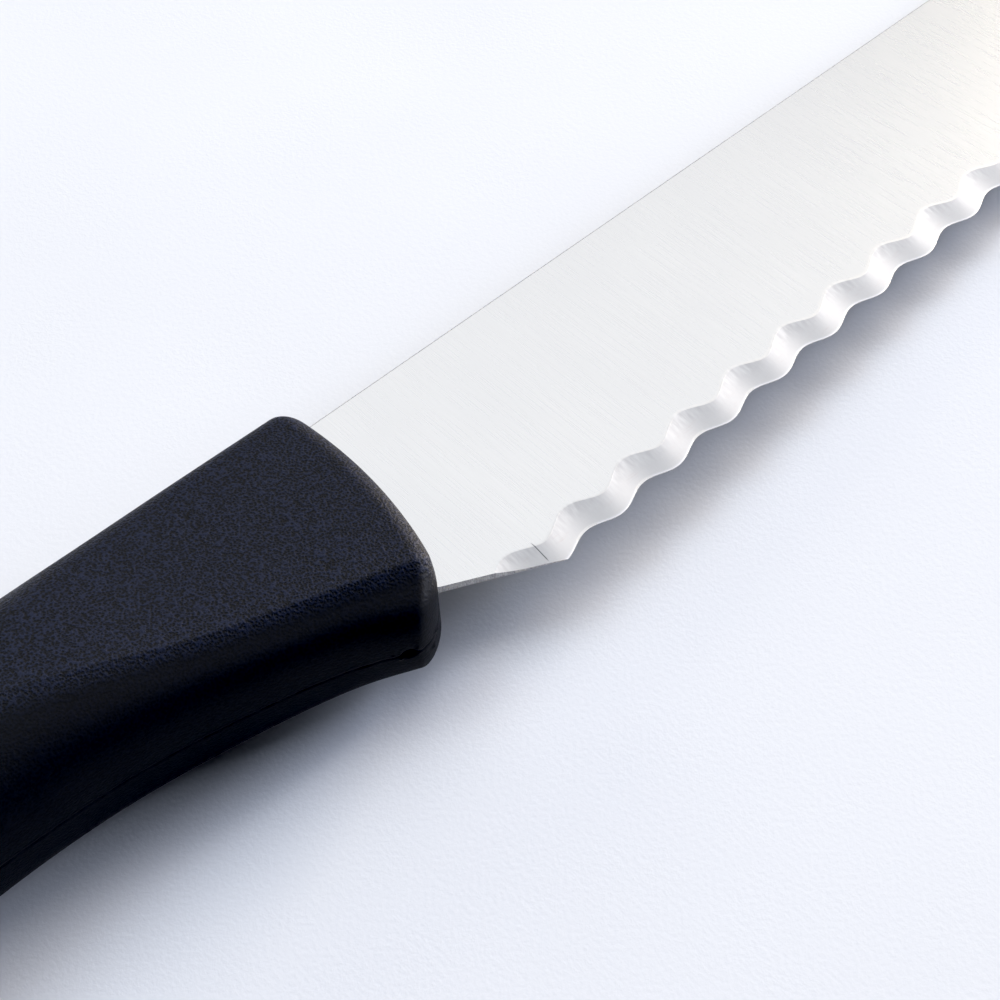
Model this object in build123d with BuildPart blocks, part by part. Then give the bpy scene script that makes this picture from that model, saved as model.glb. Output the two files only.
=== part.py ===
from build123d import *
import os

os.makedirs("parts", exist_ok=True)

# A stamped bread knife with a moulded handle, lying flat on its lower cheek.
# +X runs along the blade to the tip, +Y towards the spine, +Z up.
# The origin is the middle of the knife's outline, on the table.

# ---- Driving dimensions (mm) ----
BLADE_LENGTH = 260.0  # from the handle's front face to the tip
HANDLE_LENGTH = 135.0
BLADE_HEIGHT = 36.0  # from the spine to the first tooth, at the heel
BACK_PROUD = 0.7  # the handle's back stands this far above the spine
HALF_THICKNESS = 11.5  # handle, mid-plane to the flats on the cheeks of the palm swell

# Blade and tang
STOCK = 2.1  # sheet thickness, kept in full by the tang
SPINE_TAPER = 0.0174  # each face loses this much per mm from the spine towards the edge
POINT_TAPER = 0.0008  # each face loses this much per mm from the handle towards the tip
FIRST_TOOTH = 10.5  # ahead of the handle's front
CHOIL_SLOPE = 0.51  # drop per mm of the straight cut from the handle to the heel
CHOIL_EXIT = 30.34  # the cut's depth at the handle's front
EDGE_RISE = 0.036  # the edge climbs towards the spine by this much per mm
WAVE_PITCH = 10.0
WAVE_AMPLITUDE = 0.67
BEVEL_WIDTH = 3.5  # of the scalloped bevel, ground on the upper face only
POINT_START = 196.0  # the spine begins to fall this far ahead of the handle
POINT_DROP = 24.0  # depth of the foremost point of the tip
TANG_LENGTH = 106.0
TANG_TOP = 6.6
TANG_HEIGHT = 12.0
TANG_SHOULDER = 4.8  # length of the full-height root that sits in the handle's front wall
TANG_HOLE = 6.4
TANG_HOLES_BEHIND = (26.0, 54.0, 82.0)

# Handle
SWELL = 0.3  # the swell would rise this much higher if its flats didn't cut it off
SKIN = 2.8  # wall of the soft grip over the core
FRONT_WALL = 8.0
BUTT_WALL = 6.0
FRONT_CURVE = 62.0  # radius of the front face, seen from above
FRONT_CROWN = 8.0  # depth at which the front face stands furthest forward
FRONT_ROUNDING = 2.4
BUTT_CURVE = 36.0
BUTT_CROWN = 15.0
BUTT_ROUNDING = 5.5
PEG = 6.0
PEG_SOCKET = 6.1
PEG_REACH = 4.0  # into the other core half, beyond the tang
SCAR = (-11.0, 32.6)  # the moulding gate's scar, on the belly's parting line by the front corner
SCAR_RADIUS = 0.8

# ---- Places worked out from them ----
OVERALL = BLADE_LENGTH + HANDLE_LENGTH
FRONT_X = HANDLE_LENGTH - OVERALL / 2
SPINE_Y = (BLADE_HEIGHT - BACK_PROUD) / 2
MID_Z = HALF_THICKNESS


def at(ahead, below):
    """A point of the side view: mm ahead of the handle's front, mm below the spine line."""
    return (FRONT_X + ahead, SPINE_Y - below)


# ---- Blade with its tang ----
def edge_wave():
    """The wavy edge line, from behind the heel to beyond the tip; it is lowest at each tooth."""
    points = []
    for half_wave in range(-3, 54):
        ahead = FIRST_TOOTH + half_wave * WAVE_PITCH / 2
        swing = WAVE_AMPLITUDE if half_wave % 2 == 0 else -WAVE_AMPLITUDE
        middle = BLADE_HEIGHT - WAVE_AMPLITUDE - EDGE_RISE * (ahead - FIRST_TOOTH)
        points.append(at(ahead, middle + swing))
    return points


blank_low = BLADE_HEIGHT + 1.5  # the blank reaches past the edge, which the bevel cuts back
choil_low = (blank_low - CHOIL_EXIT) / CHOIL_SLOPE
root_below = CHOIL_EXIT - CHOIL_SLOPE * TANG_SHOULDER
tang_rear = -TANG_LENGTH + TANG_HEIGHT / 2
tang_middle = TANG_TOP + TANG_HEIGHT / 2

with BuildPart() as blade:
    with BuildSketch(Plane.XY.offset(MID_Z - STOCK / 2)):
        with BuildLine():
            spine = Line(at(-TANG_SHOULDER, 0), at(POINT_START, 0))
            fall = Bezier(
                spine @ 1,
                at(POINT_START + 32, 0),
                at(BLADE_LENGTH, POINT_DROP / 2),
                at(BLADE_LENGTH, POINT_DROP),
            )
            nose = TangentArc(fall @ 1, at(BLADE_LENGTH - 3, POINT_DROP + 3), tangent=fall % 1)
            Polyline(
                nose @ 1,
                at(BLADE_LENGTH - 14, blank_low),
                at(choil_low, blank_low),
                at(-TANG_SHOULDER, root_below),
                spine @ 0,
            )
        make_face()
    extrude(amount=STOCK)
    # The two faces are ground towards the edge and, more gently, towards the tip
    for up in (1, -1):
        face_normal = Vector(POINT_TAPER, -SPINE_TAPER, up)
        spine_corner = Vector(*at(0, 0), MID_Z + up * STOCK / 2)
        split(bisect_by=Plane(origin=spine_corner, z_dir=face_normal), keep=Keep.BOTTOM)
    # The scalloped bevel: the wave of the edge, swept up and back through the sheet. The sweep
    # starts well below the sheet, so it starts that much further out too
    bevel_rise = STOCK - SPINE_TAPER * (2 * BLADE_HEIGHT - BEVEL_WIDTH)
    low_face = MID_Z - STOCK / 2 + SPINE_TAPER * BLADE_HEIGHT
    start = Plane(origin=(0, -STOCK * BEVEL_WIDTH / bevel_rise, low_face - STOCK))
    with BuildSketch(start):
        with BuildLine():
            wave = Spline(*edge_wave())
            Polyline(wave @ 1, wave @ 1 - (0, 20), wave @ 0 - (0, 20), wave @ 0)
        make_face()
    extrude(amount=8 * STOCK, dir=(0, BEVEL_WIDTH, bevel_rise), mode=Mode.SUBTRACT)
    # The tang keeps the full sheet; the handle is locked on it through its holes
    with BuildSketch(Plane.XY.offset(MID_Z - STOCK / 2)):
        with BuildLine():
            Polyline(
                at(-TANG_SHOULDER, 0),
                at(-TANG_SHOULDER + 2.4, 0),
                at(-TANG_SHOULDER + 2.4, root_below + 2.4 * CHOIL_SLOPE),
                at(-TANG_SHOULDER, root_below),
                at(-TANG_SHOULDER - 10, TANG_TOP + TANG_HEIGHT),
                at(tang_rear, TANG_TOP + TANG_HEIGHT),
            )
            ThreePointArc(
                at(tang_rear, TANG_TOP + TANG_HEIGHT),
                at(-TANG_LENGTH, tang_middle),
                at(tang_rear, TANG_TOP),
            )
            Polyline(
                at(tang_rear, TANG_TOP),
                at(-TANG_SHOULDER, TANG_TOP),
                at(-TANG_SHOULDER, 0),
            )
        make_face()
        with Locations([at(-behind, tang_middle) for behind in TANG_HOLES_BEHIND]):
            Circle(TANG_HOLE / 2, mode=Mode.SUBTRACT)
    extrude(amount=STOCK)

blade.part.label = "blade"
export_step(blade.part, "parts/blade.step")


# ---- Handle sections ----
# mm behind the front face, depths of the back and belly lines, half thickness, over how much of
# its depth the cheek turns into the belly, and the radius between cheek and back
BACK = -BACK_PROUD
SWELL_PEAK = HALF_THICKNESS + SWELL
STATIONS = (
    (-9.0, BACK, 39.8, 7.4, 6.4, 3.0),
    (6.0, BACK, 34.5, 7.7, 6.4, 3.0),
    (18.0, BACK, 29.9, 8.1, 5.8, 3.2),
    (30.0, BACK, 26.6, 8.9, 6.4, 4.2),
    (42.0, BACK, 24.3, 10.2, 9.0, 5.9),
    (54.0, BACK, 23.4, 11.1, 12.2, 7.5),
    (67.0, BACK, 23.5, SWELL_PEAK, 13.8, 8.8),
    (84.0, BACK, 25.8, SWELL_PEAK, 15.6, 9.2),
    (104.0, BACK + 0.2, 28.2, 11.1, 17.0, 9.2),
    (120.0, BACK + 0.9, 29.6, 10.6, 17.6, 9.2),
    (132.0, BACK + 2.0, 31.8, 10.2, 18.2, 9.2),
    (146.0, BACK + 4.0, 35.4, 9.8, 19.6, 9.0),
)
ROUND = 0.5523  # curve handle that makes a quarter circle
FULL = 0.7  # curve handle that makes the belly's squarer turn


def handle_sections(inset):
    """Every handle section, shrunk by inset, as the faces that the loft passes through.

    In each sketch the first axis is depth below the spine line, the second height."""
    sections = []
    for behind, top, belly, thick, belly_turn, back_radius in STATIONS:
        back = top + inset
        low = belly - inset
        high = thick - inset
        radius = back_radius * high / thick
        turn = belly_turn * (low - back) / (belly - top)
        wall = high - radius
        origin = (FRONT_X - behind, SPINE_Y, MID_Z)
        with BuildSketch(Plane(origin=origin, x_dir=(0, -1, 0), z_dir=(-1, 0, 0))) as section:
            with BuildLine():
                Line((back, -wall), (back, wall))
                for side in (1, -1):
                    Bezier(
                        (back, side * wall),
                        (back, side * (wall + ROUND * radius)),
                        (back + radius - ROUND * radius, side * high),
                        (back + radius, side * high),
                    )
                    Line((back + radius, side * high), (low - turn, side * high))
                    Bezier(
                        (low - turn, side * high),
                        (low - turn + FULL * turn, side * high),
                        (low, side * FULL * high),
                        (low, 0),
                    )
            make_face()
        sections.append(section.sketch.face())
    return sections


# ---- Core, before it is parted ----
with BuildPart() as core:
    loft(handle_sections(SKIN))
    split(bisect_by=Plane(origin=(FRONT_X - FRONT_WALL, 0, 0), z_dir=(1, 0, 0)), keep=Keep.BOTTOM)
    rear = Plane(origin=(FRONT_X - HANDLE_LENGTH + BUTT_WALL, 0, 0), z_dir=(1, 0, 0))
    split(bisect_by=rear, keep=Keep.TOP)

# ---- Soft grip, moulded over the core ----
with BuildPart() as grip:
    loft(handle_sections(0))
    with BuildSketch(Plane.XY.offset(MID_Z)):
        with Locations(at(-FRONT_CURVE, FRONT_CROWN)):
            Circle(FRONT_CURVE)
        with Locations(at(-FRONT_CURVE - HANDLE_LENGTH / 2, FRONT_CROWN)):
            Rectangle(HANDLE_LENGTH, 2 * FRONT_CURVE)
    extrude(amount=2 * HALF_THICKNESS, both=True, mode=Mode.INTERSECT)
    with BuildSketch(Plane.XY.offset(MID_Z)):
        with Locations(at(-HANDLE_LENGTH + BUTT_CURVE, BUTT_CROWN)):
            Circle(BUTT_CURVE)
        with Locations(at(-HANDLE_LENGTH / 2 + BUTT_CURVE, BUTT_CROWN)):
            Rectangle(HANDLE_LENGTH, 2 * BUTT_CURVE)
    extrude(amount=2 * HALF_THICKNESS, both=True, mode=Mode.INTERSECT)
    with BuildSketch(Plane.XY.offset(MID_Z)):
        Rectangle(2 * OVERALL, 4 * BLADE_HEIGHT)
    extrude(amount=HALF_THICKNESS, both=True, mode=Mode.INTERSECT)
    fillet(faces().sort_by(Axis.X)[-1].edges(), FRONT_ROUNDING)
    fillet(faces().sort_by(Axis.X)[0].edges(), BUTT_ROUNDING)
    with Locations((*at(*SCAR), MID_Z)):
        Sphere(SCAR_RADIUS, mode=Mode.SUBTRACT)
    add(core.part, mode=Mode.SUBTRACT)
    add(blade.part, mode=Mode.SUBTRACT)

grip.part.label = "grip"
export_step(grip.part, "parts/grip.step")

# ---- Core halves, closed over the tang ----
with BuildPart() as upper_core:
    add(core.part)
    split(bisect_by=Plane.XY.offset(MID_Z), keep=Keep.TOP)
    add(blade.part, mode=Mode.SUBTRACT)
    with BuildSketch(Plane.XY.offset(MID_Z + STOCK / 2)):
        with Locations([at(-behind, tang_middle) for behind in TANG_HOLES_BEHIND]):
            Circle(PEG / 2)
    extrude(amount=-STOCK - PEG_REACH)
upper_core.part.label = "upper_core"
export_step(upper_core.part, "parts/upper_core.step")

with BuildPart() as lower_core:
    add(core.part)
    split(bisect_by=Plane.XY.offset(MID_Z), keep=Keep.BOTTOM)
    add(blade.part, mode=Mode.SUBTRACT)
    with BuildSketch(Plane.XY.offset(MID_Z)):
        with Locations([at(-behind, tang_middle) for behind in TANG_HOLES_BEHIND]):
            Circle(PEG_SOCKET / 2)
    extrude(amount=-STOCK / 2 - PEG_REACH - 0.3, mode=Mode.SUBTRACT)
lower_core.part.label = "lower_core"
export_step(lower_core.part, "parts/lower_core.step")
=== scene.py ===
from math import pi, radians

import bmesh
import bpy
import numpy as np
from mathutils import Matrix, Vector

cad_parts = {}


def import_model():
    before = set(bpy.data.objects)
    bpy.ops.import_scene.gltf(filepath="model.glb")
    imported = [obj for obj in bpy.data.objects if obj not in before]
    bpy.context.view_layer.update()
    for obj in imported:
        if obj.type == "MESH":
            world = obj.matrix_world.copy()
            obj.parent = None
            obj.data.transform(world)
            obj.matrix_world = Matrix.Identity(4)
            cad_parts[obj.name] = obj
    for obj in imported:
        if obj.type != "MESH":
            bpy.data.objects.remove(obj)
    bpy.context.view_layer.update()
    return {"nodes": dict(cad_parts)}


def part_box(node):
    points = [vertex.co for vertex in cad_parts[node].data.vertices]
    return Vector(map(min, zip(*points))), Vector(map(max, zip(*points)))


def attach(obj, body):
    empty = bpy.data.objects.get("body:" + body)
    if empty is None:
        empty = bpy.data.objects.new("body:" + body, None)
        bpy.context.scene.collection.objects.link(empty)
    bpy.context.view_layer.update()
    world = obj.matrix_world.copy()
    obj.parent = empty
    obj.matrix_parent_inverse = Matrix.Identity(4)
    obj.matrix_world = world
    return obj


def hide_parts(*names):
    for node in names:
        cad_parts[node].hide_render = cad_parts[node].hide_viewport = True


# The bread knife's looks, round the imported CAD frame.
# Shapes are worked out in mm in the knife's own side view: ahead of (or behind) the handle's front
# face, below the spine line, and up from the blade's mid-plane. world() turns them into the frame.

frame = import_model()

MM = 0.001
grip_low, grip_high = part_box("grip")
blade_low, blade_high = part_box("blade")
FRONT_X = grip_high.x
SPINE_Y = blade_high.y
MID_Z = (grip_low.z + grip_high.z) / 2
BLADE_LENGTH = (blade_high.x - FRONT_X) / MM
TANG_LENGTH = (FRONT_X - blade_low.x) / MM
HANDLE_LENGTH = (FRONT_X - grip_low.x) / MM
HALF_STOCK = (blade_high.z - blade_low.z) / 2 / MM
HALF_THICKNESS = (grip_high.z - grip_low.z) / 2 / MM


def world(ahead, below, up):
    """Points in the frame, in metres, from places in the knife's own view, in mm."""
    parts = (FRONT_X + ahead * MM, SPINE_Y - below * MM, MID_Z + up * MM)
    return np.stack(np.broadcast_arrays(*parts), -1)


def side_view(x, y):
    """The reverse of world(): mm ahead of the front face and mm below the spine line."""
    return (x - FRONT_X) / MM, (SPINE_Y - y) / MM


def smooth_step(low, high, x):
    """0 up to low, 1 from high on, and a soft rise between them."""
    t = np.clip((x - low) / (high - low), 0, 1)
    return t * t * (3 - 2 * t)


def bump(x, middle, width):
    """1 at the middle, falling off smoothly to 0 over about twice the width."""
    return np.exp(-(((x - middle) / width) ** 2))


def eased_ramp(x, softness):
    """x where it is positive and nothing where it is negative, with a soft bend between."""
    return softness * np.logaddexp(0, x / softness)


def bezier(a, b, c, d, t):
    """A cubic curve from a to d with the handles b and c."""
    return a * (1 - t) ** 3 + 3 * b * t * (1 - t) ** 2 + 3 * c * t * t * (1 - t) + d * t ** 3


def grid_faces(rings, around):
    """Quads between rings of points that each close on themselves."""
    ring, step = np.meshgrid(np.arange(rings - 1), np.arange(around), indexing="ij")
    after = (step + 1) % around
    corners = (ring * around + step, ring * around + after)
    corners += ((ring + 1) * around + after, (ring + 1) * around + step)
    return np.stack(corners, -1).reshape(-1, 4).tolist()


def make_mesh(name, points, faces):
    """A closed mesh whose faces all look outwards."""
    mesh = bpy.data.meshes.new(name)
    mesh.from_pydata(points.tolist(), [], faces)
    shape = bmesh.new()
    shape.from_mesh(mesh)
    bmesh.ops.recalc_face_normals(shape, faces=shape.faces)
    shape.to_mesh(mesh)
    shape.free()
    return mesh


def make_piece(name, mesh, cad_node, sharp_angle):
    """A piece that stands in for a CAD node, shaded smooth but for edges over the sharp angle."""
    mesh.name = name
    mesh.polygons.foreach_set("use_smooth", [True] * len(mesh.polygons))
    mesh.set_sharp_from_angle(angle=radians(sharp_angle))
    piece = bpy.data.objects.new(name, mesh)
    bpy.context.scene.collection.objects.link(piece)
    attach(piece, "root")
    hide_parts(cad_node)


def vertex_places(mesh):
    places = np.empty(3 * len(mesh.vertices))
    mesh.vertices.foreach_get("co", places)
    return places.reshape(-1, 3)


def paint(mesh, name, values):
    """A per-vertex number that the material reads, such as where the bevel is."""
    layer = mesh.attributes.new(name, "FLOAT", "POINT")
    layer.data.foreach_set("value", np.asarray(values, np.float32).ravel())


# ---- Blade ----
SPINE_TAPER = 0.0174  # each face loses this much per mm towards the edge
POINT_TAPER = 0.0008  # and this much per mm towards the tip
FIRST_TOOTH = 10.5
EDGE_DEPTH = 36.0  # of the first tooth
EDGE_RISE = 0.036
WAVE_PITCH = 10.0
EDGE_WAVE = 0.67
BEVEL_WIDTH = 3.55
BEVEL_WAVE = 0.22  # the bevel's top swings this much more than the edge
BEVEL_ARCH = 0.7  # under 1 makes the arches of the bevel's top blunter than the gullets
BEVEL_HOLLOW = 0.12  # how far the bevel sags below a straight cut, as a share of its fall
EDGE_THICKNESS = 0.05
CHOIL_EXIT = 30.34
CHOIL_SLOPE = 0.51
CHOIL_REACH = 4.0  # how far above the choil's upper end its cut faces are looked for
POINT_START = 196.0
POINT_HANDLE = 32.0  # how far the spine runs on before it falls to the point
POINT_DROP = 24.0
NOSE_RADIUS = 3.0
HEEL_AHEAD = 11.3
TANG_TOP = 6.6
TANG_HEIGHT = 12.0
TANG_HOLE = 6.4
TANG_HOLES_BEHIND = (26.0, 54.0, 82.0)
SHOULDER = 4.8  # how far behind the front face the blade keeps its full height
NECK = SHOULDER + 2.6  # and by where it has drawn in to the tang
SPINE_ROUNDING = 0.16
COLUMN_STEP = 0.25
BLADE_SHARP_ANGLE = 7
# shares of the bevel's width: where its looks begin, where the wheel marks and their painted shade fade,
# where the painted highlight along the edge begins
BEVEL_BEGINS = (-0.02, 0.01)
WHEEL_AND_SHADE_FADES = (0.12, 0.62)
PAINTED_HIGHLIGHT_BEGINS = (0.9, 0.99)
TOOTH_WHEEL_AND_SHADE = 0.25  # strength of the wheel marks and their painted shade at a tooth, against 1 in a gullet


def edge_line(ahead):
    """Depth of the wavy cutting edge."""
    phase = 2 * pi * (ahead - FIRST_TOOTH) / WAVE_PITCH
    middle = EDGE_DEPTH - EDGE_WAVE - EDGE_RISE * (ahead - FIRST_TOOTH)
    return middle + EDGE_WAVE * np.cos(phase)


def gullet(ahead):
    """0 at each tooth, 1 at the bottom of each gullet."""
    phase = 2 * pi * (ahead - FIRST_TOOTH) / WAVE_PITCH
    return (1 - np.cos(phase)) / 2


def bevel_line(ahead):
    """Depth of the line where the bevel starts."""
    return edge_line(ahead) - BEVEL_WIDTH - 2 * BEVEL_WAVE * gullet(ahead) ** BEVEL_ARCH + BEVEL_WAVE


def half_sheet(ahead, below):
    """Half the sheet's thickness before the bevel is ground."""
    ground = HALF_STOCK - SPINE_TAPER * below - POINT_TAPER * np.maximum(ahead, 0)
    full = smooth_step(-SHOULDER / 2, -SHOULDER, ahead)
    return ground + (HALF_STOCK - ground) * full


def upper_face(ahead, below):
    """Height of the upper face: the flat, then the hollow bevel down to the edge."""
    start = bevel_line(ahead)
    edge = edge_line(ahead)
    share = np.clip((below - start) / (edge - start), 0, 1)
    low = -half_sheet(ahead, edge) + EDGE_THICKNESS
    high = half_sheet(ahead, start)
    cut = 1 - share - BEVEL_HOLLOW * share * (1 - share)
    return np.where(below < start, half_sheet(ahead, below), low + (high - low) * cut)


def blade_columns():
    """Places along the blade, closest together at the teeth and at the point."""
    tang_end = np.linspace(0, pi / 2, 14)[1:-1]
    tang = TANG_HEIGHT / 2 * (1 - np.sin(tang_end[::-1])) - TANG_LENGTH
    straight = np.linspace(TANG_HEIGHT / 2 - TANG_LENGTH, -NECK, 24)
    root = np.linspace(0.2 - NECK, -0.4, 14)
    toothed = np.arange(0, BLADE_LENGTH - NOSE_RADIUS, COLUMN_STEP)
    nose = BLADE_LENGTH - NOSE_RADIUS * (1 - np.sin(np.linspace(0, pi / 2, 22)[:-1]))
    return np.concatenate([np.sort(tang), straight, root, toothed, nose])


def blade_outline(ahead):
    """Depths of the upper and lower outline at each column."""
    t = np.linspace(0, 1, 600)
    fall_x = bezier(POINT_START, POINT_START + POINT_HANDLE, BLADE_LENGTH, BLADE_LENGTH, t)
    fall_y = bezier(0, 0, POINT_DROP / 2, POINT_DROP, t)
    top = np.interp(ahead, fall_x, fall_y)
    from_nose = np.clip(ahead - BLADE_LENGTH + NOSE_RADIUS, 0, NOSE_RADIUS)
    nose = POINT_DROP + np.sqrt(NOSE_RADIUS ** 2 - from_nose ** 2)
    nose = np.where(from_nose > 0, nose, np.inf)
    choil = CHOIL_EXIT + CHOIL_SLOPE * ahead
    low = np.minimum(np.minimum(edge_line(ahead), choil), nose)
    # behind the shoulder the outline draws in to the tang, which ends in a half circle
    into_tang = smooth_step(-SHOULDER, -NECK, ahead)
    top = top + (TANG_TOP - top) * into_tang
    low = low + (TANG_TOP + TANG_HEIGHT - low) * into_tang
    from_end = np.clip(ahead + TANG_LENGTH, 0, TANG_HEIGHT / 2)
    half = np.sqrt((TANG_HEIGHT / 2) ** 2 - (TANG_HEIGHT / 2 - from_end) ** 2)
    middle = TANG_TOP + TANG_HEIGHT / 2
    in_end = ahead < TANG_HEIGHT / 2 - TANG_LENGTH
    return np.where(in_end, middle - half, top), np.where(in_end, middle + half, low)


def blade_mesh():
    """Points and faces of the blade and its tang: one ring of points round each column."""
    ahead = blade_columns()
    top, low = blade_outline(ahead)
    height = low - top
    # at the point, where the bevel would be taller than the blade, both keep a share of the height
    least_flat = 0.4 * height
    least_bevel = np.minimum(0.3, 0.3 * height)
    start = np.clip(bevel_line(ahead), top + least_flat, low - least_bevel)
    corner = np.minimum(SPINE_ROUNDING, 0.1 * height)
    flat_rows = np.array([0, 0.1, 0.25, 0.4, 0.55, 0.7, 0.82, 0.91, 0.96, 0.985, 1])
    bevel_rows = np.array([0.02, 0.06, 0.12, 0.2, 0.3, 0.42, 0.55, 0.68, 0.8, 0.9, 0.96, 1])
    under_rows = np.array([1, 0.97, 0.9, 0.75, 0.5, 0.25, 0.1, 0])
    ring = []

    def add(below, up):
        ring.append(world(ahead, below, up))

    first = top + corner
    add(top, half_sheet(ahead, top) - corner)
    add(top + 0.3 * corner, half_sheet(ahead, top) - 0.3 * corner)
    for row in flat_rows:
        below = first + row * (start - first)
        add(below, upper_face(ahead, below))
    for row in bevel_rows:
        below = start + row * (low - start)
        add(below, upper_face(ahead, below))
    for row in under_rows:
        below = first + row * (low - first)
        add(below, -half_sheet(ahead, below))
    add(top + 0.3 * corner, -half_sheet(ahead, top) + 0.3 * corner)
    add(top, -half_sheet(ahead, top) + corner)
    rings = np.stack(ring, 1)
    count, around = rings.shape[:2]
    faces = grid_faces(count, around)
    faces.append(list(range(around)))
    faces.append(list(range(count * around - 1, (count - 1) * around - 1, -1)))
    return rings.reshape(-1, 3), faces


def drilled(mesh):
    """The mesh with the tang's three holes through it."""
    blank = bpy.data.objects.new("blank", mesh)
    drills = bpy.data.objects.new("drills", bpy.data.meshes.new("drills"))
    radius = TANG_HOLE / 2 * MM
    length = 6 * HALF_STOCK * MM
    shape = bmesh.new()
    for behind in TANG_HOLES_BEHIND:
        middle = Vector(world(-behind, TANG_TOP + TANG_HEIGHT / 2, 0))
        bmesh.ops.create_cone(
            shape, cap_ends=True, segments=48, radius1=radius, radius2=radius,
            depth=length, matrix=Matrix.Translation(middle),
        )
    shape.to_mesh(drills.data)
    shape.free()
    cut = blank.modifiers.new("holes", "BOOLEAN")
    cut.operation = "DIFFERENCE"
    cut.solver = "EXACT"
    cut.object = drills
    for item in (blank, drills):
        bpy.context.scene.collection.objects.link(item)
    graph = bpy.context.evaluated_depsgraph_get()
    result = bpy.data.meshes.new_from_object(blank.evaluated_get(graph))
    bpy.data.objects.remove(blank)
    bpy.data.objects.remove(drills)
    return result


def paint_bevel(mesh):
    """Marks the bevel on the upper face, its wheel marks with painted shade over the top of each
    scallop, and a thin painted highlight along the edge.
    """
    points = vertex_places(mesh)
    ahead, below = side_view(points[:, 0], points[:, 1])
    above = points[:, 2] > MID_Z - HALF_STOCK * MM / 3
    start = bevel_line(ahead)
    edge = edge_line(ahead)
    share = (below - start) / (edge - start)
    on_bevel = smooth_step(*BEVEL_BEGINS, share) * above
    # wheel marks, with painted shade over the top of each scallop, strongest in the gullets
    wheel_and_shade = (1 - smooth_step(*WHEEL_AND_SHADE_FADES, share)) * (TOOTH_WHEEL_AND_SHADE + (1 - TOOTH_WHEEL_AND_SHADE) * gullet(ahead))
    paint(mesh, "bevel", on_bevel)
    paint(mesh, "wheel_marks_and_painted_shade", wheel_and_shade * on_bevel)
    # a painted highlight along the edge
    paint(mesh, "edge_painted_highlight", smooth_step(*PAINTED_HIGHLIGHT_BEGINS, share) * above)


def is_sheared(face):
    """Whether a face is part of the choil's cut, which looks towards the edge's side."""
    ahead, below = side_view(face.center.x, face.center.y)
    in_choil = -SHOULDER < ahead < HEEL_AHEAD and below > CHOIL_EXIT - CHOIL_REACH
    return in_choil and face.normal.y < -0.7


def build_blade():
    mesh = drilled(make_mesh("blank", *blade_mesh()))
    make_piece("ground_blade", mesh, "blade", BLADE_SHARP_ANGLE)
    paint_bevel(mesh)
    mesh.materials.append(steel_material())
    mesh.materials.append(sheared_material())
    for face in mesh.polygons:
        face.material_index = int(is_sheared(face))


# ---- Grip ----
# mm behind the front face, depths of the back and belly lines, half thickness, over how much of its
# depth the cheek turns into the belly, the radius between cheek and back, and the crease in degrees
STATIONS = np.array((
    (-9.0, -0.7, 39.8, 7.4, 6.4, 3.0, 38.0),
    (6.0, -0.7, 34.5, 7.7, 6.4, 3.0, 38.0),
    (18.0, -0.7, 29.9, 8.1, 5.8, 3.2, 35.0),
    (30.0, -0.7, 26.6, 8.9, 6.4, 4.2, 27.0),
    (42.0, -0.7, 24.3, 10.2, 9.0, 5.9, 16.0),
    (54.0, -0.7, 23.4, 11.1, 12.2, 7.5, 6.0),
    (67.0, -0.7, 23.5, 11.8, 13.8, 8.8, 0.0),
    (84.0, -0.7, 25.8, 11.8, 15.6, 9.2, 0.0),
    (104.0, -0.5, 28.2, 11.1, 17.0, 9.2, 0.0),
    (120.0, 0.2, 29.6, 10.6, 17.6, 9.2, 0.0),
    (132.0, 1.3, 31.8, 10.2, 18.2, 9.2, 0.0),
    (146.0, 3.3, 35.4, 9.8, 19.6, 9.0, 0.0),
))
ROUND = 0.5523  # curve handle that makes a quarter circle
# curve handles of the belly's turn, below the ridge and at the belly line, at the front and further back
RIDGE_HANDLE = (0.70, 0.66)
BELLY_HANDLE = (0.97, 0.86)
BELLY_FILLS_OUT = (12.0, 60.0)  # mm behind the front, from the first of these handles to the second
CREASE_RADIUS = 0.9
LEAST_CUT = 0.05  # how far the crease's rounding reaches even where there is no crease
FLAT_SOFTNESS = 0.1  # of the bend where the swelling cheek runs out into its flat
SKIN = 2.8  # thickness of the skin over the core
FRONT_WALL = 8.0
BUTT_WALL = 6.0
FRONT_CURVE = 60.0  # radius of the bowed front face
FRONT_CROWN = 10.0  # depth of its foremost point
FRONT_FADE = 45.0  # how far behind the front the rings still follow its bow
FRONT_ROUNDING = 2.6
BELLY_CORNER = 30.2  # depth from which the front face is cut back towards the belly
BELLY_CORNER_SLANT = 0.76
BELLY_CORNER_SOFTNESS = 0.8
BUTT_CURVE = 36.0
BUTT_CROWN = 15.0
BUTT_FADE = 35.0
BUTT_ROUNDING = 5.5
FACE_END = 0.985  # share of the way to the middle that the butt's last ring lies at
SLOT = (2.7, 27.9)  # depths between which the skin closes on the blade
SLOT_SQUEEZE = 0.08  # how far the skin's lips reach into the steel's faces
SLOT_LENGTH = 4.6
THROAT_MARGIN = 0.3  # how far the throat reaches into the tang's edges
SAG_PASSES = 3  # the sag hangs on the depth, and the depth on the sag, so both are worked out in turns
GRIP_SHARP_ANGLE = 35
GRAIN_FADES = (0.03, 0.36)  # shares of the belly's turn over which the grain grows finer and the painted sheen on the pebble tops fades
GRAIN_LOSS = 0.72
SCAR_BEHIND = 11.0
SCAR_RADIUS = 0.72
SCAR_DEPTH = 0.6
SCAR_FLATNESS = 1.15  # how much longer than tall the gate's scar is
SEAM_WIDTH = 0.16
SEAM_DEPTH = 0.14
SEAM_AHEAD = 0.15  # height of the parting line from the front to the scar
SEAM_STEP = 0.25
SEAM_WANDER = 0.1
# mm behind the front, mm above the mid-plane, radius and height of each scrap of flash
FLASH = (
    (10.2, 0.75, 0.22, 0.16), (11.9, -0.45, 0.2, 0.15), (10.0, -0.2, 0.16, 0.1),
    (6.8, 0.25, 0.3, 0.32), (7.7, -1.5, 0.28, 0.3), (12.7, 0.35, 0.2, 0.08), (1.9, 3.0, 0.3, 0.22),
)
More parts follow.
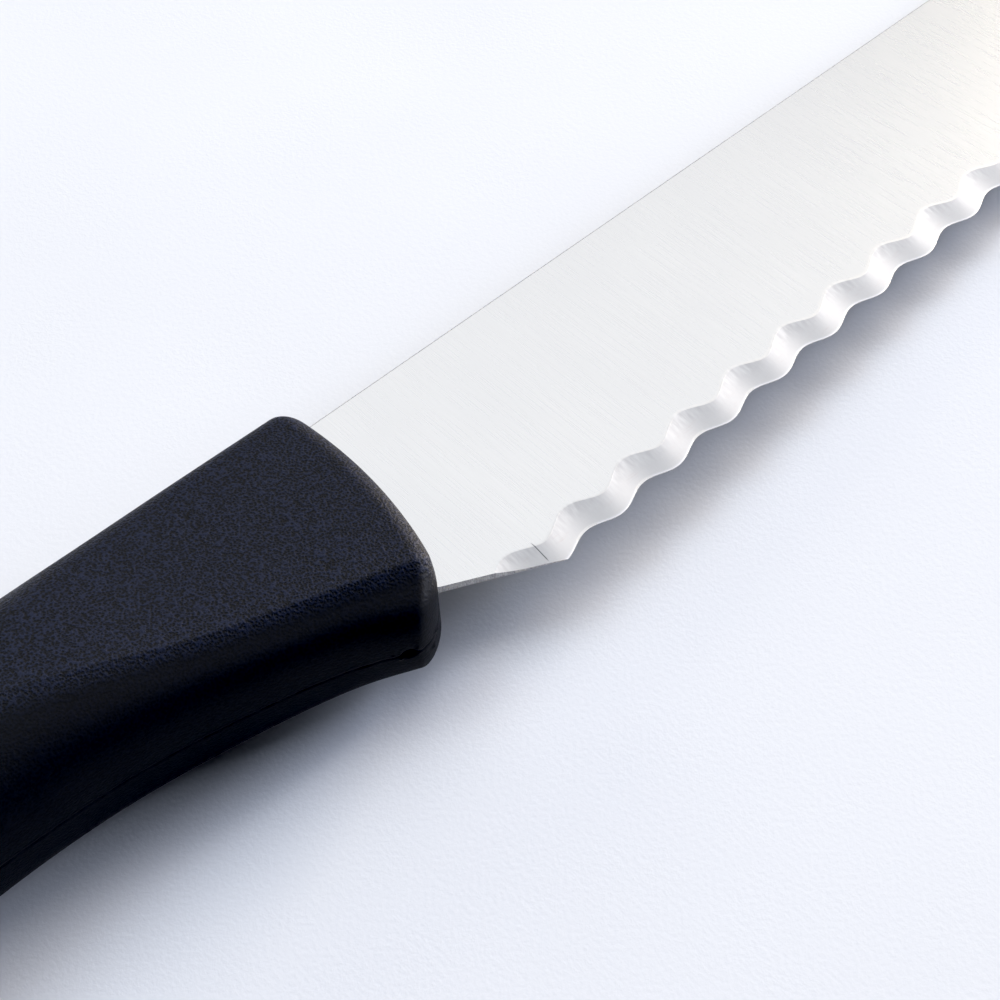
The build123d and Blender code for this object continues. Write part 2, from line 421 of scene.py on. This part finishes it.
# shares of each stretch of the half section at which it has points
BACK_SAMPLES = np.linspace(0, 1, 9)[:-1]
CORNER_SAMPLES = np.linspace(0, 1, 13)[:-1]
CHEEK_SAMPLES = np.linspace(0, 1, 27)[:-1]
CREASE_SAMPLES = np.linspace(0, 1, 8)[:-1]
BELLY_SAMPLES = np.concatenate([
    np.linspace(0, 0.9, 34), np.linspace(0.918, 0.958, 3), np.linspace(0.966, 1, 7),
])
STRETCHES = (BACK_SAMPLES, CORNER_SAMPLES, CHEEK_SAMPLES, CREASE_SAMPLES, BELLY_SAMPLES)
HALF_AROUND = sum(len(samples) for samples in STRETCHES)


def section_size(behind, column):
    """One size of the handle's section, as a smooth curve through the stations."""
    places = STATIONS[:, 0]
    values = STATIONS[:, column]
    slopes = np.gradient(values, places)
    at = np.clip(np.searchsorted(places, behind) - 1, 0, len(places) - 2)
    step = places[at + 1] - places[at]
    t = (behind - places[at]) / step
    rise = values[at + 1] - values[at]
    start = slopes[at] * step
    end = slopes[at + 1] * step
    return values[at] + t * (start + t * (3 * rise - 2 * start - end + t * (start + end - 2 * rise)))


def section(behind, inset):
    """Depth and height of every point round the handle. behind holds one row of places per ring."""
    back, belly, thick, turn, radius, crease = (section_size(behind, k) for k in range(1, 7))
    thick = HALF_THICKNESS - eased_ramp(HALF_THICKNESS - thick, FLAT_SOFTNESS)
    top = back + inset
    low = belly - inset
    high = thick - inset
    radius = radius * high / thick
    turn = turn * (low - top) / (belly - back)
    wall = high - radius
    angle = np.radians(crease)
    cut = CREASE_RADIUS * np.tan(angle / 2) + LEAST_CUT
    ridge = low - turn
    below = []
    up = []
    ends = np.cumsum([0] + [len(samples) for samples in STRETCHES])

    def pick(values, k):
        """The columns of one stretch of the half section."""
        return values[:, ends[k]:ends[k + 1]]

    t = BACK_SAMPLES
    below.append(pick(top, 0) + 0 * t)
    up.append(pick(wall, 0) * t)
    t = CORNER_SAMPLES
    r = pick(radius, 1)
    edge = pick(top, 1)
    below.append(edge + bezier(0, 0, r - ROUND * r, r, t))
    up.append(pick(wall, 1) + bezier(0, ROUND * r, r, r, t))
    t = CHEEK_SAMPLES
    start = pick(top + radius, 2)
    below.append(start + t * (pick(ridge - cut, 2) - start))
    up.append(pick(high, 2) + 0 * t)

    rearward = smooth_step(*BELLY_FILLS_OUT, behind)
    ridge_full, belly_full = (a + (b - a) * rearward for a, b in (RIDGE_HANDLE, BELLY_HANDLE))

    def belly_curve(k, t):
        """Depths and heights along the curve from the ridge to the belly line."""
        handle = pick(ridge_full * turn, k)
        tilt = pick(angle, k)
        first = pick(ridge, k)
        last = pick(low, k)
        tall = pick(high, k)
        x = bezier(first, first + handle * np.cos(tilt), last, last, t)
        y = bezier(tall, tall - handle * np.sin(tilt), pick(belly_full, k) * tall, 0 * tall, t)
        return x, y

    def joined(k):
        """How far along the belly's curve the crease's rounding ends."""
        return pick(cut / (3 * ridge_full * turn), k)

    t = CREASE_SAMPLES
    x, y = belly_curve(3, joined(3))
    below.append((1 - t) ** 2 * pick(ridge - cut, 3) + 2 * t * (1 - t) * pick(ridge, 3) + t * t * x)
    up.append((1 - t * t) * pick(high, 3) + t * t * y)
    begin = joined(4)
    x, y = belly_curve(4, begin + (1 - begin) * BELLY_SAMPLES)
    below.append(x)
    up.append(y)
    return np.concatenate(below, 1), np.concatenate(up, 1)


def mirrored(half, sign):
    """A whole ring from its upper half, without doubling the points on the mid-plane."""
    return np.concatenate([half, sign * half[:, -2:0:-1]], 1)


def front_sag(below):
    """How far the bowed front face lies back, with a cut-back corner at the belly."""
    bow = FRONT_CURVE - np.sqrt(FRONT_CURVE ** 2 - (below - FRONT_CROWN) ** 2)
    return bow + BELLY_CORNER_SLANT * eased_ramp(below - BELLY_CORNER, BELLY_CORNER_SOFTNESS)


def butt_sag(below):
    """How far the bowed butt lies ahead of its rearmost point."""
    return BUTT_CURVE - np.sqrt(BUTT_CURVE ** 2 - (below - BUTT_CROWN) ** 2)


def sagged(place, below):
    """The front and butt faces bow, and the rings between them follow less and less."""
    front = front_sag(below) * (1 - smooth_step(0, FRONT_FADE, place))
    butt = butt_sag(below) * smooth_step(HANDLE_LENGTH - BUTT_FADE, HANDLE_LENGTH, place)
    return place + front - butt


def skin_rings(place, inset):
    """Rings at places counted from the front face, each drawn in by its inset."""
    place = np.asarray(place, float)[:, None] + np.zeros(HALF_AROUND)
    inset = np.asarray(inset, float)[:, None] + np.zeros(HALF_AROUND)
    behind = place
    for _ in range(SAG_PASSES):
        below, up = section(behind, inset)
        behind = sagged(place, below)
    return behind, below, up


def blended(rings, target_below, target_up, shares, sag, place):
    """Rings across an end face, from a rim towards a smaller outline."""
    made = []
    _, below, up = (r[-1:] for r in rings)
    for share in shares:
        b = below + share * (target_below - below)
        u = up + share * (target_up - up)
        made.append((place + sag(b), b, u))
    return tuple(np.concatenate(parts) for parts in zip(*made))


def joined_rings(*groups):
    return tuple(np.concatenate(parts) for parts in zip(*groups))


def flipped(group):
    """The same rings in the opposite order."""
    return tuple(part[::-1] for part in group)


def slot_outline(below, up, top, low, half):
    """A rim squashed to the blade's outline."""
    share = (below - below.min()) / (below.max() - below.min())
    slot_below = top + share * (low - top)
    return slot_below, up / up.max() * half(slot_below)


def rounded_rim(radius, steps):
    """Distances from the end face, and insets, of a rounded rim from its side to its face."""
    turn = np.linspace(0, pi / 2, steps)
    return radius * (1 - np.sin(turn)), radius * (1 - np.cos(turn))


def body_rings():
    """The handle between its rims, with the rings closest together at the gate's scar."""
    fine_from = SCAR_BEHIND - 5.2
    ahead_of_scar = np.arange(FRONT_ROUNDING + 0.3, fine_from, 0.35)
    at_scar = np.arange(fine_from, SCAR_BEHIND + 0.6, 0.15)
    behind_scar = np.arange(SCAR_BEHIND + 0.8, HANDLE_LENGTH - BUTT_ROUNDING - 0.5, 0.55)
    along = np.concatenate([ahead_of_scar, at_scar, behind_scar])
    return skin_rings(along, 0 * along)


def butt_rings():
    """The butt's rounded rim and its bowed face."""
    from_end, inset = rounded_rim(BUTT_ROUNDING, 17)
    rim = skin_rings(HANDLE_LENGTH - from_end, inset)
    shares = np.linspace(0, 1, 11)[1:] * FACE_END
    middle = BUTT_CROWN + 0 * rim[1][-1:]
    return rim, blended(rim, middle, 0 * middle, shares, lambda b: -butt_sag(b), HANDLE_LENGTH)


def inner_rings(slot_below, slot_up):
    """The slot's walls, the throat round the tang, and the cavity that the core fills."""
    throat_below, throat_up = slot_outline(
        slot_below, slot_up, TANG_TOP + THROAT_MARGIN, TANG_TOP + TANG_HEIGHT - THROAT_MARGIN,
        lambda b: HALF_STOCK - SLOT_SQUEEZE + 0 * b,
    )
    flat = np.ones_like(slot_below)
    slot = (SLOT_LENGTH * flat, slot_below, slot_up)
    throat = (FRONT_WALL * flat, throat_below, throat_up)
    along = np.linspace(FRONT_WALL, HANDLE_LENGTH - BUTT_WALL, 26)
    behind = along[:, None] + np.zeros(HALF_AROUND)
    below, up = section(behind, SKIN + 0 * behind)
    cavity = (behind, below, up)
    end = BUTT_CROWN + 0 * below[-1:]
    cavity_end = blended(cavity, end, 0 * end, (0.5, 0.97), lambda b: 0 * b, along[-1])
    return joined_rings(slot, throat, cavity, cavity_end)


def grip_rings():
    """The upper half of the skin's outer and inner rings, both from the front to the butt."""
    rim = flipped(skin_rings(*rounded_rim(FRONT_ROUNDING, 13)))
    front_rim = tuple(part[:1] for part in rim)
    slot_below, slot_up = slot_outline(
        front_rim[1], front_rim[2], *SLOT, lambda b: half_sheet(0, b) - SLOT_SQUEEZE
    )
    shares = np.linspace(0, 1, 10)[1:] ** 0.9
    front_face = flipped(blended(front_rim, slot_below, slot_up, shares, front_sag, 0))
    outer = joined_rings(front_face, rim, body_rings(), *butt_rings())
    return outer, inner_rings(slot_below, slot_up)


def seam_height(behind):
    """Height of the parting line, which steps down behind the gate's scar and wanders there."""
    step = SEAM_STEP * smooth_step(SCAR_BEHIND + 0.5, SCAR_BEHIND + 4, behind)
    wander = SEAM_WANDER * np.sin(behind * 1.9) * bump(behind, SCAR_BEHIND + 2, 3)
    return SEAM_AHEAD - step + wander


def skin_relief(behind, below, up):
    """How far the skin stands out, in mm: the parting line, the gate's scar and scraps of flash."""
    at_belly = below > (section_size(behind, 1) + section_size(behind, 2)) / 2
    worn = 0.5 + 0.5 * np.sin(behind * 0.83 + 2 * np.sin(behind * 0.31)) * np.sin(behind * 2.3)
    on_seam = bump(up - seam_height(behind), 0, SEAM_WIDTH)
    relief = -SEAM_DEPTH * on_seam * (0.45 + 0.55 * worn) * np.where(at_belly, 1, 0.6)
    from_scar = np.hypot(behind - SCAR_BEHIND, (up - SEAM_AHEAD) * SCAR_FLATNESS)
    relief += np.where(at_belly, -SCAR_DEPTH * np.exp(-((from_scar / SCAR_RADIUS) ** 4)), 0)
    for along, across, size, tall in FLASH:
        away = np.hypot(behind - along, up - across)
        relief += np.where(at_belly, tall * bump(away, 0, size), 0)
    return relief


def outward(behind, below, up):
    """Unit vectors that look out of the skin, one for each of its points."""
    places = (-behind, -below, up)
    along = np.stack([np.gradient(p, axis=0) for p in places], -1)
    across = np.stack([np.roll(p, -1, 1) - np.roll(p, 1, 1) for p in places], -1)
    out = np.cross(across, along)
    out /= np.maximum(np.linalg.norm(out, axis=-1, keepdims=True), 1e-12)
    on_upper_cheek = out[len(out) // 2, HALF_AROUND // 3]
    return -out if on_upper_cheek[2] < 0 else out


def grip_mesh():
    """Points and faces of the skin: its cavity from the butt to the slot, then its outside."""
    outer, inner = grip_rings()
    behind, below, up = (mirrored(p, s) for p, s in zip(outer, (1, 1, -1)))
    move = skin_relief(behind, below, up)[..., None] * outward(behind, below, up) * MM
    shell = world(-behind, below, up) + move
    behind, below, up = (mirrored(p, s) for p, s in zip(inner, (1, 1, -1)))
    hollow = world(-behind, below, up)
    rings = np.concatenate([hollow[::-1], shell])
    count, around = rings.shape[:2]
    faces = grid_faces(count, around)
    faces.append(list(range(around - 1, -1, -1)))
    faces.append(list(range((count - 1) * around, count * around)))
    return rings.reshape(-1, 3), faces


def paint_grain_and_sheen(mesh):
    """Marks how strong the grain and the painted sheen on the pebble tops are: on the belly the grain is
    finer than on the cheeks and the sheen fainter, which paints shade on the belly.
    """
    points = vertex_places(mesh)
    ahead, below = side_view(points[:, 0], points[:, 1])
    belly = section_size(-ahead, 2)
    turn = section_size(-ahead, 4)
    round_belly = smooth_step(*GRAIN_FADES, (below - belly + turn) / turn)
    # lower on the belly: finer grain and a fainter painted sheen, so the belly is painted darker as
    # shade
    paint(mesh, "grain_and_sheen", 1 - GRAIN_LOSS * round_belly)


def build_grip():
    mesh = make_mesh("skin", *grip_mesh())
    make_piece("soft_grip", mesh, "grip", GRIP_SHARP_ANGLE)
    mesh.materials.append(grip_material())
    paint_grain_and_sheen(mesh)


# ---- Materials ----
STEEL_DARK = (0.408, 0.402, 0.386)
STEEL_LIGHT = (0.428, 0.421, 0.404)
STEEL_CLOUD = (0.396, 0.391, 0.378)
HONED = (0.448, 0.445, 0.440)
# colours of the wheel marks, which also paint shade over the top of each scallop
WHEEL_AND_SHADE_DARK = (0.415, 0.412, 0.408)
WHEEL_AND_SHADE_LIGHT = (0.515, 0.511, 0.505)
TARNISH = (0.42, 0.38, 0.355)
TARNISH_STRENGTH = 0.55
# colour of the painted highlight along the edge
EDGE_PAINTED_HIGHLIGHT = (0.56, 0.565, 0.575)
SCRATCH = (0.10, 0.10, 0.105)
SCRATCH_AHEAD = 9.1
SCRATCH_DEPTHS = (31.6, 34.8)
SCRATCH_WIDTHS = (0.02, 0.09)  # half widths of its full and its fading part
SHEAR_DARK = (0.30, 0.295, 0.305)
SHEAR_LIGHT = (0.56, 0.55, 0.55)
SHEAR_STAIN = (0.5, 0.48, 0.44)
GRIP_PITS = (0.0024, 0.0026, 0.0034)
# painted sheen on the pebble tops
GRIP_TOPS_PAINTED_SHEEN = (0.0110, 0.0140, 0.0290)
CORE_DARK = (0.04, 0.04, 0.045)
CORE_LIGHT = (0.06, 0.06, 0.066)
BOARD_DARK = (0.81, 0.81, 0.812)
BOARD_LIGHT = (0.83, 0.83, 0.832)


class Nodes:
    """A material's node tree, with short calls for the few kinds of node used here."""

    def __init__(self, name):
        self.material = bpy.data.materials.new(name)
        self.material.use_nodes = True
        self.tree = self.material.node_tree
        self.shader = self.tree.nodes["Principled BSDF"]
        self.place = self.tree.nodes.new("ShaderNodeTexCoord").outputs["Object"]

    def link(self, source, socket):
        self.tree.links.new(source, socket)

    def noise(self, scale, detail=2.0, roughness=0.5, distortion=0.0):
        """Noise over the object. scale is features per mm along X, Y and Z."""
        mapping = self.tree.nodes.new("ShaderNodeMapping")
        mapping.inputs["Scale"].default_value = [k / MM for k in scale]
        self.link(self.place, mapping.inputs["Vector"])
        node = self.tree.nodes.new("ShaderNodeTexNoise")
        node.inputs["Scale"].default_value = 1
        node.inputs["Detail"].default_value = detail
        node.inputs["Roughness"].default_value = roughness
        node.inputs["Distortion"].default_value = distortion
        self.link(mapping.outputs["Vector"], node.inputs["Vector"])
        return node.outputs["Fac"]

    def cells(self, scale, smoothness):
        """Rounded pebbles, scale of them per mm."""
        node = self.tree.nodes.new("ShaderNodeTexVoronoi")
        node.feature = "SMOOTH_F1"
        node.inputs["Scale"].default_value = scale / MM
        node.inputs["Smoothness"].default_value = smoothness
        self.link(self.place, node.inputs["Vector"])
        return node.outputs["Distance"]

    def scratch(self, ahead, top, low):
        """1 along a fine line across the blade, 0 elsewhere."""
        parts = self.tree.nodes.new("ShaderNodeSeparateXYZ")
        self.link(self.place, parts.inputs["Vector"])
        beside = self.math("ABSOLUTE", self.math("SUBTRACT", parts.outputs["X"], FRONT_X + ahead * MM))
        middle = SPINE_Y - (top + low) / 2 * MM
        along = self.math("ABSOLUTE", self.math("SUBTRACT", parts.outputs["Y"], middle))
        full, fading = SCRATCH_WIDTHS
        fine = self.spread(beside, full * MM, fading * MM, 1, 0)
        reach = (low - top) / 2 * MM
        return self.math("MULTIPLY", fine, self.spread(along, 0.7 * reach, reach, 1, 0))

    def attribute(self, name):
        """A number that paint() left on the mesh."""
        node = self.tree.nodes.new("ShaderNodeAttribute")
        node.attribute_name = name
        return node.outputs["Fac"]

    def math(self, operation, a, b=0.0):
        """An operation on two sockets, or on a socket and a plain number."""
        node = self.tree.nodes.new("ShaderNodeMath")
        node.operation = operation
        for value, socket in zip((a, b), node.inputs):
            if isinstance(value, (int, float)):
                socket.default_value = value
            else:
                self.link(value, socket)
        return node.outputs["Value"]

    def spread(self, value, low, high, out_low=0.0, out_high=1.0):
        """value from low to high, mapped to out_low to out_high and clamped."""
        node = self.tree.nodes.new("ShaderNodeMapRange")
        node.inputs["From Min"].default_value = low
        node.inputs["From Max"].default_value = high
        node.inputs["To Min"].default_value = out_low
        node.inputs["To Max"].default_value = out_high
        self.link(value, node.inputs["Value"])
        return node.outputs["Result"]

    def mix(self, share, a, b):
        """Colour a to colour b by share."""
        node = self.tree.nodes.new("ShaderNodeMix")
        node.data_type = "RGBA"
        self.link(share, node.inputs["Factor"])
        for value, socket in ((a, node.inputs[6]), (b, node.inputs[7])):
            if isinstance(value, tuple):
                socket.default_value = (*value, 1)
            else:
                self.link(value, socket)
        return node.outputs[2]

    def bump(self, height, strength, depth):
        """depth is the height of the relief, in mm."""
        node = self.tree.nodes.new("ShaderNodeBump")
        node.inputs["Strength"].default_value = strength
        node.inputs["Distance"].default_value = depth * MM
        self.link(height, node.inputs["Height"])
        self.link(node.outputs["Normal"], self.shader.inputs["Normal"])


def steel_material():
    """Steel ground across its length, with a honed bevel, wheel marks with painted shade over the top of
    each scallop, one scratch, tarnish and a painted highlight along the edge.
    """
    m = Nodes("ground_steel")
    m.shader.inputs["Metallic"].default_value = 1
    grind = m.noise((7, 0.09, 7), detail=1, roughness=0.4)
    coarse = m.noise((2.2, 0.05, 2.2), detail=2)
    honing = m.noise((0.25, 7, 7), detail=3, roughness=0.6)
    cloud = m.noise((0.09, 0.06, 0.09), detail=4, roughness=0.55)
    blotch = m.noise((0.5, 1.1, 0.5), detail=3, distortion=0.6)
    wheel_and_shade = m.attribute("wheel_marks_and_painted_shade")
    bevel = m.attribute("bevel")
    plain = m.mix(m.spread(grind, 0.3, 0.7), STEEL_DARK, STEEL_LIGHT)
    plain = m.mix(m.spread(cloud, 0.35, 0.65, 0, 0.35), plain, STEEL_CLOUD)
    # mottled wheel marks that also paint shade over the top of each scallop
    marks_and_shade = m.mix(m.spread(coarse, 0.35, 0.7), WHEEL_AND_SHADE_DARK, WHEEL_AND_SHADE_LIGHT)
    ground = m.mix(wheel_and_shade, m.mix(bevel, plain, HONED), marks_and_shade)
    ground = m.mix(m.scratch(SCRATCH_AHEAD, *SCRATCH_DEPTHS), ground, SCRATCH)
    tarnish = m.math("MULTIPLY", m.spread(honing, 0.5, 0.72), m.spread(blotch, 0.48, 0.7))
    tarnish = m.math("MULTIPLY", tarnish, m.math("MULTIPLY", bevel, m.math("SUBTRACT", 1.0, wheel_and_shade)))
    ground = m.mix(m.math("MULTIPLY", tarnish, TARNISH_STRENGTH), ground, TARNISH)
    # a painted highlight along the edge, over the ground colour
    m.link(m.mix(m.attribute("edge_painted_highlight"), ground, EDGE_PAINTED_HIGHLIGHT), m.shader.inputs["Base Color"])
    dull = m.math("ADD", m.spread(grind, 0.3, 0.7, 0.27, 0.29), m.math("MULTIPLY", bevel, 0.46))
    m.link(dull, m.shader.inputs["Roughness"])
    relief = m.math("ADD", grind, m.math("MULTIPLY", m.math("MULTIPLY", coarse, bevel), 0.7))
    m.bump(relief, 0.024, 0.002)
    return m.material


def sheared_material():
    """The torn steel of the choil's cut."""
    m = Nodes("sheared_steel")
    m.shader.inputs["Metallic"].default_value = 1
    torn = m.noise((5, 5, 1.6), detail=4, roughness=0.7)
    patch = m.noise((0.8, 0.8, 2.5), detail=2)
    colour = m.mix(m.spread(torn, 0.35, 0.65), SHEAR_DARK, SHEAR_LIGHT)
    colour = m.mix(m.spread(patch, 0.5, 0.68), colour, SHEAR_STAIN)
    m.link(colour, m.shader.inputs["Base Color"])
    m.link(m.spread(torn, 0.3, 0.7, 0.75, 0.45), m.shader.inputs["Roughness"])
    m.bump(torn, 0.9, 0.05)
    return m.material


def grip_material():
    """A matt black skin with a moulded grain of pebbles and wrinkles, whose pebble tops carry a painted
    blue-grey sheen that fades on the belly, leaving painted shade there.
    """
    m = Nodes("grained_elastomer")
    grain_and_sheen = m.attribute("grain_and_sheen")
    m.link(m.spread(grain_and_sheen, 0.3, 1, 0.085, 0.12), m.shader.inputs["Specular IOR Level"])
    pebble = m.cells(3.1, 0.6)
    fine = m.noise((5.5, 5.5, 5.5), detail=3, roughness=0.6)
    wrinkle = m.noise((0.8, 1.9, 2.4), detail=2, roughness=0.5, distortion=0.9)
    wear = m.noise((0.12, 0.12, 0.12), detail=3)
    height = m.math("ADD", m.math("MULTIPLY", pebble, 1.1), m.math("MULTIPLY", fine, 0.8))
    height = m.math("ADD", height, m.math("MULTIPLY", wrinkle, 0.5))
    # painted sheen: the pebble tops are painted a lighter blue-grey than the black pits, only faintly on
    # the belly, which is left darker as painted shade
    top = m.math("MULTIPLY", m.spread(height, 1.0, 1.42), m.spread(grain_and_sheen, 0.28, 1, 0.14, 1))
    m.link(m.mix(top, GRIP_PITS, GRIP_TOPS_PAINTED_SHEEN), m.shader.inputs["Base Color"])
    dull = m.math("ADD", m.spread(top, 0, 1, 0.56, 0.44), m.spread(wear, 0.3, 0.7, -0.04, 0.04))
    m.link(dull, m.shader.inputs["Roughness"])
    relief = m.math("ADD", m.math("MULTIPLY", height, grain_and_sheen), m.math("MULTIPLY", wrinkle, 0.35))
    m.bump(relief, 0.8, 0.09)
    return m.material


def core_material():
    m = Nodes("moulded_plastic")
    m.shader.inputs["Specular IOR Level"].default_value = 0.4
    fine = m.noise((2, 2, 2), detail=3)
    flow = m.noise((0.05, 0.2, 0.2), detail=2)
    m.link(m.mix(m.spread(flow, 0.3, 0.7), CORE_DARK, CORE_LIGHT), m.shader.inputs["Base Color"])
    m.link(m.spread(fine, 0.3, 0.7, 0.42, 0.55), m.shader.inputs["Roughness"])
    m.bump(fine, 0.2, 0.02)
    return m.material


def floor_material():
    m = Nodes("pale_board")
    fine = m.noise((1.6, 1.6, 1.6), detail=3, roughness=0.55)
    broad = m.noise((0.02, 0.02, 0.02), detail=2)
    m.link(m.mix(m.spread(broad, 0.3, 0.7), BOARD_DARK, BOARD_LIGHT), m.shader.inputs["Base Color"])
    m.shader.inputs["Roughness"].default_value = 0.8
    m.shader.inputs["Specular IOR Level"].default_value = 0.0
    m.bump(fine, 0.2, 0.12)
    return m.material


build_blade()
build_grip()
core_plastic = core_material()
for node in ("upper_core", "lower_core"):
    half = frame["nodes"][node]
    half.data.materials.clear()
    half.data.materials.append(core_plastic)


# ---- Floor ----
FLAT_START = 58.0  # the cheek's flat touches the floor from here back
FLAT_DEPTH = 15.0
FLOOR_REACH = 3.0  # metres from its middle to each side


def build_floor():
    """A board that the knife rests on with its handle's cheek and with the tip of its blade."""
    cheek = world(-FLAT_START, FLAT_DEPTH, -HALF_THICKNESS)
    tip = world(BLADE_LENGTH, POINT_DROP, -half_sheet(BLADE_LENGTH, POINT_DROP))
    mesh = bpy.data.meshes.new("floor")
    corners = [(x * FLOOR_REACH, y * FLOOR_REACH, 0) for x, y in ((-1, -1), (1, -1), (1, 1), (-1, 1))]
    mesh.from_pydata(corners, [], [(0, 1, 2, 3)])
    mesh.materials.append(floor_material())
    floor = bpy.data.objects.new("floor", mesh)
    bpy.context.scene.collection.objects.link(floor)
    floor.location = cheek
    floor.rotation_euler = (0, -np.arctan2(tip[2] - cheek[2], tip[0] - cheek[0]), 0)


build_floor()


# ---- Light ----
LIGHT_DISTANCE = 3.0
# azimuth from +X towards +Y and elevation in degrees, width and height in metres, and the share of the
# floor's light in red, green and blue
SOFTBOXES = {
    "key": (6, 19, 1.5, 1.5, (0.315, 0.27, 0.21)),
    "right": (345, 18, 1.2, 1.2, (0.245, 0.27, 0.34)),
    "upper": (50, 57, 3.4, 2.7, (0.354, 0.363, 0.390)),
    "back": (118, 56, 1.6, 1.2, (0.05, 0.075, 0.10)),
    "left": (165, 28, 1.2, 1.4, (0.06, 0.07, 0.095)),
    "spine_side": (105, 18, 1.2, 1.2, (0.057, 0.052, 0.04)),
}
STUDIO_COLOUR = (0.92, 0.95, 1, 1)
STUDIO_STRENGTH = 0.5
BLACK_LEVEL = 0.0072


def add_softbox(name, azimuth, elevation, width, height, share):
    """A rectangular lamp that faces the knife and gives a level floor its share of the light."""
    data = bpy.data.lights.new(name, "AREA")
    data.shape = "RECTANGLE"
    data.size = width
    data.size_y = height
    strongest = max(share)
    data.color = [part / strongest for part in share]
    turn = Matrix.Rotation(radians(azimuth), 4, "Z") @ Matrix.Rotation(radians(-elevation), 4, "Y")
    towards = turn @ Vector((1, 0, 0))
    data.energy = strongest * 4 * pi * LIGHT_DISTANCE ** 2 / towards.z
    light = bpy.data.objects.new(name, data)
    bpy.context.scene.collection.objects.link(light)
    facing = towards.to_track_quat("Z", "Y").to_matrix().to_4x4()
    light.matrix_world = Matrix.Translation(towards * LIGHT_DISTANCE) @ facing


def build_studio():
    """A pale world that camera and reflections see, but that doesn't light the floor."""
    studio = bpy.data.worlds.new("studio")
    studio.use_nodes = True
    background = studio.node_tree.nodes["Background"]
    background.inputs["Color"].default_value = STUDIO_COLOUR
    background.inputs["Strength"].default_value = STUDIO_STRENGTH
    studio.cycles_visibility.diffuse = False
    bpy.context.scene.world = studio


for name, values in SOFTBOXES.items():
    add_softbox(name, *values)
build_studio()
view = bpy.context.scene.view_settings
view.view_transform = "Standard"
view.use_curve_mapping = True
view.curve_mapping.black_level = (BLACK_LEVEL, BLACK_LEVEL, BLACK_LEVEL)
view.curve_mapping.update()


# ---- Camera ----
CAMERA_PLACE = (-0.1362, -0.10565, 0.17601)
CAMERA_LENS = 63.55
CAMERA_TURN = radians(-40.577)
CAMERA_TILT = radians(38.409)
CAMERA_ROLL = radians(-3.151)


def add_camera():
    """The camera, turned about the vertical, tilted up from straight down, and rolled."""
    camera = bpy.data.objects.new("camera", bpy.data.cameras.new("camera"))
    bpy.context.scene.collection.objects.link(camera)
    camera.data.lens = CAMERA_LENS
    camera.data.clip_start = 0.01
    camera.matrix_world = (
        Matrix.Translation(CAMERA_PLACE)
        @ Matrix.Rotation(CAMERA_TURN, 4, "Z")
        @ Matrix.Rotation(CAMERA_TILT, 4, "X")
        @ Matrix.Rotation(CAMERA_ROLL, 4, "Z")
    )
    bpy.context.scene.camera = camera


add_camera()
